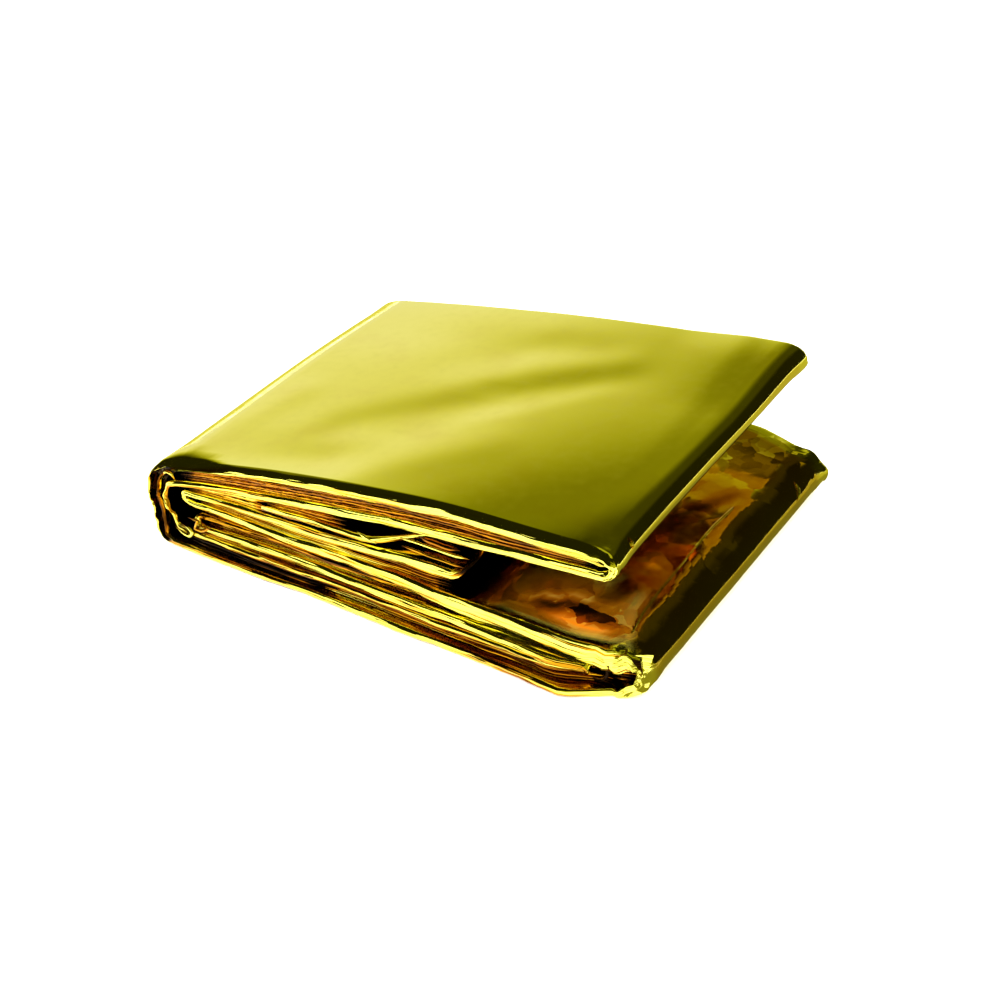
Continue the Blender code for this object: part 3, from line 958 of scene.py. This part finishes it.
def build_world():
    world = bpy.data.worlds.new("soft_studio")
    bpy.context.scene.world = world
    world.use_nodes = True
    world.cycles.sampling_method = "NONE"
    tree = world.node_tree
    tree.nodes.clear()
    out = tree.nodes.new("ShaderNodeOutputWorld")
    where = tree.nodes.new("ShaderNodeTexCoord")
    group = soft_light_group()
    total = None
    for light in SOFT_LIGHTS:
        panel = tree.nodes.new("ShaderNodeGroup")
        panel.node_tree = group
        tree.links.new(where.outputs["Generated"], panel.inputs["Direction"])
        for name, degrees in zip(("Azimuth", "Reach", "Fade", "Start", "Full", "Gone"), light):
            panel.inputs[name].default_value = math.radians(degrees)
        panel.inputs["Strength"].default_value = light.strength
        total = math_node(tree, "ADD", panel.outputs["Light"], DARK_ROOM if total is None else total)
    glossy = tree.nodes.new("ShaderNodeBackground")
    tree.links.new(total, glossy.inputs["Strength"])
    share = math_node(tree, "DIVIDE", total, FULL_LIGHT)
    warm = tree.nodes.new("ShaderNodeCombineColor")
    warm.inputs["Red"].default_value = 1.0
    warm.inputs["Green"].default_value = 1.0
    tree.links.new(math_node(tree, "POWER", share, 2.6), warm.inputs["Blue"])
    tree.links.new(warm.outputs["Color"], glossy.inputs["Color"])
    diffuse = tree.nodes.new("ShaderNodeBackground")
    diffuse.inputs["Strength"].default_value = FLOOR_LIGHT
    plain = tree.nodes.new("ShaderNodeBackground")
    plain.inputs["Strength"].default_value = CAMERA_WHITE
    for node in (glossy, diffuse, plain):
        node.inputs["Color"].default_value = (1.0, 1.0, 1.0, 1.0)
    rays = tree.nodes.new("ShaderNodeLightPath")
    by_gloss = tree.nodes.new("ShaderNodeMixShader")
    tree.links.new(rays.outputs["Is Glossy Ray"], by_gloss.inputs[0])
    tree.links.new(diffuse.outputs[0], by_gloss.inputs[1])
    tree.links.new(glossy.outputs[0], by_gloss.inputs[2])
    by_camera = tree.nodes.new("ShaderNodeMixShader")
    tree.links.new(rays.outputs["Is Camera Ray"], by_camera.inputs[0])
    tree.links.new(by_gloss.outputs[0], by_camera.inputs[1])
    tree.links.new(plain.outputs[0], by_camera.inputs[2])
    tree.links.new(by_camera.outputs[0], out.inputs["Surface"])
    bpy.context.scene.view_settings.view_transform = "Standard"


# Folded edges of the thin plies that fill the gaps between two layers, seen at the front and the back.
# Each row: the layer above, the layer below, where the gap starts and ends along x, how far the edges
# lie behind the layers' own lips, how many plies and their middle tone, the painted shade of the gap.
Plies = namedtuple("Plies", "above below start end set_back count tone")
PLIES = [
    Plies("cover", "cover_under", 3.0, 119.0, 1.3, 5, 0.56),
    Plies("cover_under", "under_flap", 5.0, 30.0, 1.2, 3, 0.36),
    Plies("cover_under", "short_flap", 28.0, 52.0, 1.5, 3, 0.60),
    Plies("under_flap", "lower_leaf_top", 8.0, 80.0, 1.2, 4, 0.36),
    Plies("lower_leaf_top", "high_pleat", 10.0, 120.0, 1.2, 3, 0.38),
    Plies("high_pleat", "low_pleat", 10.0, 119.0, 1.0, 3, 0.34),
    Plies("low_pleat", "inner_floor", 7.0, 118.0, 0.9, 2, 0.32),
    Plies("inner_floor", "base", 3.0, 44.0, 1.2, 3, 0.90),
    Plies("inner_floor", "base", 44.0, 121.0, 1.2, 3, 0.44),
    Plies("lower_leaf_top", "base", 117.0, 127.0, 3.5, 4, 0.70),
]
PLY_STEP = 2.5

# Single plies that lie loose in the folds, creased edges and small curls: tone, the painted light and
# shade, radius and the places that they run through.
LoosePly = namedtuple("LoosePly", "tone radius places")
LOOSE_PLIES = [
    LoosePly(0.05, 0.35, ((66.5, 1.0, 23.1), (74.8, 1.0, 23.1), (85.2, 1.0, 23.4))),
    LoosePly(0.40, 0.35, ((67.1, 1.0, 21.1), (74.6, 1.0, 20.6), (83.8, 1.0, 20.5))),
    LoosePly(0.55, 0.80, ((71.1, 1.8, 24.2), (77.1, 1.8, 24.2), (82.5, 1.8, 24.4))),
    LoosePly(0.00, 0.45, ((55.4, 0.6, 21.3), (57.5, 0.3, 20.9), (60.7, 0.2, 20.0))),
    LoosePly(0.10, 0.38, ((1.1, -1.4, 6.1), (3.4, -1.4, 5.0), (5.2, -1.4, 4.4), (6.7, -1.4, 6.1),
                          (5.4, -1.4, 7.4), (3.5, -1.4, 7.7))),
    LoosePly(0.35, 0.34, ((5.7, -1.2, 10.3), (8.8, -1.2, 10.5), (7.4, -1.2, 7.7), (9.9, -1.2, 7.6),
                          (13.0, -1.2, 9.8))),
    LoosePly(0.10, 0.35, ((-2.2, 0.4, 19.0), (-1.0, 0.4, 20.6), (0.8, 0.4, 20.2), (1.6, 0.4, 18.4))),
    LoosePly(0.30, 0.30, ((124.0, 0.5, 11.2), (121.8, 7.6, 11.75), (120.5, 15.9, 11.8),
                          (119.8, 25.1, 11.8), (119.6, 36.2, 11.8), (119.3, 45.2, 11.8),
                          (119.2, 53.7, 11.8), (120.0, 64.9, 11.7))),
    LoosePly(0.00, 0.40, ((126.6, 83.8, 9.9), (127.7, 83.5, 9.2), (128.5, 82.8, 8.4), (129.1, 81.5, 7.6),
                          (129.3, 79.9, 7.0))),
    LoosePly(0.00, 0.36, ((120.2, 8.6, 36.1), (121.0, 8.3, 35.5), (121.6, 8.1, 34.8), (121.9, 7.5, 34.1))),
]


# Small pleats that stand up where the film is pinched together: tone and the four corners of each. The
# second is painted nearly black, as shade beside the first.
Pleat = namedtuple("Pleat", "tone corners")
PLEATS = [
    Pleat(0.0, ((125.0, 3.1, 10.3), (129.0, 4.4, 10.9), (128.2, 3.0, 6.5), (127.6, 7.5, 8.8))),
    Pleat(0.98, ((124.6, 1.6, 10.2), (126.8, 2.4, 9.8), (127.6, 2.2, 6.6), (126.6, 4.2, 8.6))),
]


def build_pleats(material):
    """The pinched pleats, each a low closed pyramid."""
    points = []
    faces = []
    tones = []
    for pleat in PLEATS:
        first = len(points)
        corners = np.array(pleat.corners)
        points += ((corners - np.array(TABLE_ORIGIN)) * MM).tolist()
        turned = np.linalg.det(corners[1:] - corners[0]) > 0.0
        for face in ((0, 2, 1), (0, 1, 3), (1, 2, 3), (0, 3, 2)):
            faces.append([first + i for i in (face if turned else face[::-1])])
        tones += [pleat.tone] * len(corners)
    mesh = bpy.data.meshes.new("corner_pleats")
    mesh.from_pydata(points, [], faces)
    store_values(mesh, "tone", tones)
    mesh.materials.append(material)
    return add_object("corner_pleats", mesh)


def named_layer(name):
    return next(layer for layer in LAYERS if layer.name == name)


def layer_face(layer, x, side):
    """Height of a layer's front bead: its top for side 1, its underside for side -1."""
    index = LAYERS.index(layer)
    at = layer_station(layer, x, PHASE_PER_LAYER * index)
    extra = (at.bead - at.thick) / 2.0
    return at, at.z - at.lean * extra + side * at.bead / 2.0


def ply_guide(row, at_front):
    """Points along the middle of a gap, and half the gap's height at each."""
    upper = named_layer(row.above)
    lower = named_layer(row.below)
    count = max(2, round((row.end - row.start) / PLY_STEP))
    points = []
    rooms = []
    for i in range(count + 1):
        x = mix(row.start, row.end, i / count)
        above, ceiling = layer_face(upper, x, -1.0)
        below, ground = layer_face(lower, x, 1.0)
        if at_front:
            y = -min(above.lip, below.lip) + row.set_back
        else:
            y = PACK_DEPTH + min(above.tail, below.tail) - row.set_back
        fall = 0.0 if at_front else (above.drop + below.drop) / 2.0
        points.append((x, y, (ceiling + ground) / 2.0 - fall))
        rooms.append(max((ceiling - ground) / 2.0, 0.2))
    return points, rooms


def ply_tree():
    """Geometry nodes: copies each guide line once per ply, spreads the copies over the gap, lets them
    wander and sweeps a round edge along each."""
    numbers = [(name, "Float") for name in ("Fatness", "Wander", "Tone Spread", "Seed")]
    inputs = [("Geometry", "Geometry"), *numbers, ("Material", "Material")]
    tree, start, end = new_group("ply_edges", "GeometryNodeTree", inputs, [("Geometry", "Geometry")])
    link = tree.links.new
    lines = tree.nodes.new("GeometryNodeMeshToCurve")
    link(start.outputs["Geometry"], lines.inputs["Mesh"])
    plies = named_float(tree, "plies")
    copies = tree.nodes.new("GeometryNodeDuplicateElements")
    copies.domain = "SPLINE"
    link(lines.outputs["Curve"], copies.inputs["Geometry"])
    link(plies, copies.inputs["Amount"])
    room = named_float(tree, "room")
    middle = math_node(tree, "ADD", copies.outputs["Duplicate Index"], 0.5)
    share = math_node(tree, "DIVIDE", middle, plies)
    spread = math_node(tree, "MULTIPLY_ADD", share, 2.0, -1.0)
    rise = math_node(tree, "MULTIPLY", spread, room)
    place = tree.nodes.new("GeometryNodeInputPosition").outputs[0]
    noise = noise_node(tree, 55.0, 3.0, place)
    noise.noise_dimensions = "4D"
    own = math_node(tree, "MULTIPLY_ADD", copies.outputs["Duplicate Index"], 7.3, start.outputs["Seed"])
    link(own, noise.inputs["W"])
    centred = math_node(tree, "SUBTRACT", noise.outputs["Fac"], 0.5)
    astray = math_node(tree, "MULTIPLY", centred, start.outputs["Wander"])
    offset = tree.nodes.new("ShaderNodeCombineXYZ")
    link(astray, offset.inputs["Y"])
    lift = math_node(tree, "MULTIPLY_ADD", astray, 0.25, rise)
    link(lift, offset.inputs["Z"])
    moved = tree.nodes.new("GeometryNodeSetPosition")
    link(copies.outputs["Geometry"], moved.inputs["Geometry"])
    link(offset.outputs[0], moved.inputs["Offset"])
    radius = math_node(tree, "MULTIPLY", math_node(tree, "DIVIDE", room, plies), start.outputs["Fatness"])
    taper = named_float(tree, "taper")
    radius = math_node(tree, "MULTIPLY", radius, taper)
    shades = noise_node(tree, 22.0, 2.0, place)
    shades.noise_dimensions = "4D"
    link(math_node(tree, "MULTIPLY_ADD", own, 1.9, 4.0), shades.inputs["W"])
    shade = math_node(tree, "SUBTRACT", shades.outputs["Fac"], 0.5)
    # Each ply's tone is its row's painted shade, varied by noise and painted darker towards its thin ends.
    tone = math_node(tree, "MULTIPLY_ADD", shade, start.outputs["Tone Spread"], named_float(tree, "tone"))
    tone = math_node(tree, "ADD", tone, math_node(tree, "MULTIPLY_ADD", taper, -0.4, 0.4))
    toned = tree.nodes.new("GeometryNodeStoreNamedAttribute")
    toned.data_type = "FLOAT"
    toned.domain = "POINT"
    toned.inputs["Name"].default_value = "tone"
    link(moved.outputs["Geometry"], toned.inputs["Geometry"])
    link(tone, toned.inputs["Value"])
    profile = tree.nodes.new("GeometryNodeCurvePrimitiveCircle")
    profile.inputs["Resolution"].default_value = 10
    profile.inputs["Radius"].default_value = 1.0
    sweep = tree.nodes.new("GeometryNodeCurveToMesh")
    sweep.inputs["Fill Caps"].default_value = True
    link(profile.outputs["Curve"], sweep.inputs["Profile Curve"])
    link(radius, sweep.inputs["Scale"])
    real = tree.nodes.new("GeometryNodeRealizeInstances")
    link(toned.outputs["Geometry"], sweep.inputs["Curve"])
    link(sweep.outputs["Mesh"], real.inputs["Geometry"])
    foil = tree.nodes.new("GeometryNodeSetMaterial")
    link(real.outputs["Geometry"], foil.inputs["Geometry"])
    link(start.outputs["Material"], foil.inputs["Material"])
    link(foil.outputs["Geometry"], end.inputs["Geometry"])
    return tree


def named_float(tree, name):
    node = tree.nodes.new("GeometryNodeInputNamedAttribute")
    node.data_type = "FLOAT"
    node.inputs["Name"].default_value = name
    return node.outputs["Attribute"]


def set_input(modifier, name, value):
    """Sets a modifier's input by its socket's identifier."""
    for item in modifier.node_group.interface.items_tree:
        if item.item_type == "SOCKET" and item.in_out == "INPUT" and item.name == name:
            modifier[item.identifier] = value


def tapered(count, run):
    """1 along a line and softly down to a tenth over the last few of its points."""
    return [0.1 + 0.9 * float(smooth((min(i, count - 1 - i)) / run)) for i in range(count)]


def fine_line(ply):
    """The loose ply's places with points between them every mm or so."""
    places = np.array(ply.places)
    way = np.concatenate([[0.0], np.cumsum(np.linalg.norm(np.diff(places, axis=0), axis=1))])
    at = np.linspace(0.0, way[-1], max(9, round(way[-1])))
    return np.stack([np.interp(at, way, column) for column in places.T], axis=-1).tolist()


def build_plies(material):
    """The guide lines of all gaps, at the front and the back, swept into ply edges."""
    points = []
    edges = []
    facts = {"room": [], "plies": [], "tone": [], "taper": []}

    def add_line(line, rooms, count, tone, run):
        first = len(points)
        points.extend(line)
        edges.extend((first + i, first + i + 1) for i in range(len(line) - 1))
        facts["room"] += [MM * room for room in rooms]
        facts["plies"] += [count] * len(line)
        facts["tone"] += [tone] * len(line)
        facts["taper"] += tapered(len(line), run)

    for row in PLIES:
        for at_front in (True, False):
            line, rooms = ply_guide(row, at_front)
            add_line(line, rooms, row.count, row.tone, 2.2)
    for ply in LOOSE_PLIES:
        line = fine_line(ply)
        add_line(line, [ply.radius] * len(line), 1, ply.tone, 2.5)
    placed = (np.array(points) - np.array(TABLE_ORIGIN)) * MM
    guide_mesh = bpy.data.meshes.new("ply_guides")
    guide_mesh.from_pydata(placed.tolist(), edges, [])
    for name, values in facts.items():
        store_values(guide_mesh, name, values)
    guide = add_object("ply_guides", guide_mesh)
    modifier = guide.modifiers.new("ply_edges", "NODES")
    modifier.node_group = ply_tree()
    set_input(modifier, "Fatness", 1.15)
    set_input(modifier, "Wander", 2.2 * MM)
    set_input(modifier, "Tone Spread", 1.6)
    set_input(modifier, "Seed", 3.0)
    set_input(modifier, "Material", material)
    return plain_copy(guide, "inner_plies")


def plain_copy(source, name):
    """A plain mesh object of what the source's modifiers make. The source is removed."""
    bpy.context.view_layer.update()
    graph = bpy.context.evaluated_depsgraph_get()
    mesh = bpy.data.meshes.new_from_object(source.evaluated_get(graph), depsgraph=graph)
    bpy.data.objects.remove(source)
    mesh.shade_smooth()
    return add_object(name, mesh)


tone_group = foil_tone_group()
relief_group = foil_relief_group()
film = build_film()
film.data.materials.append(film_material(tone_group, relief_group))
ply_foil = ply_material(tone_group, relief_group)
plies = build_plies(ply_foil)
pleats = build_pleats(ply_foil)

place_camera()
build_floor()
build_cards()
build_world()

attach(film, "root")
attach(plies, "root")
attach(pleats, "root")
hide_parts("foil_blanket")
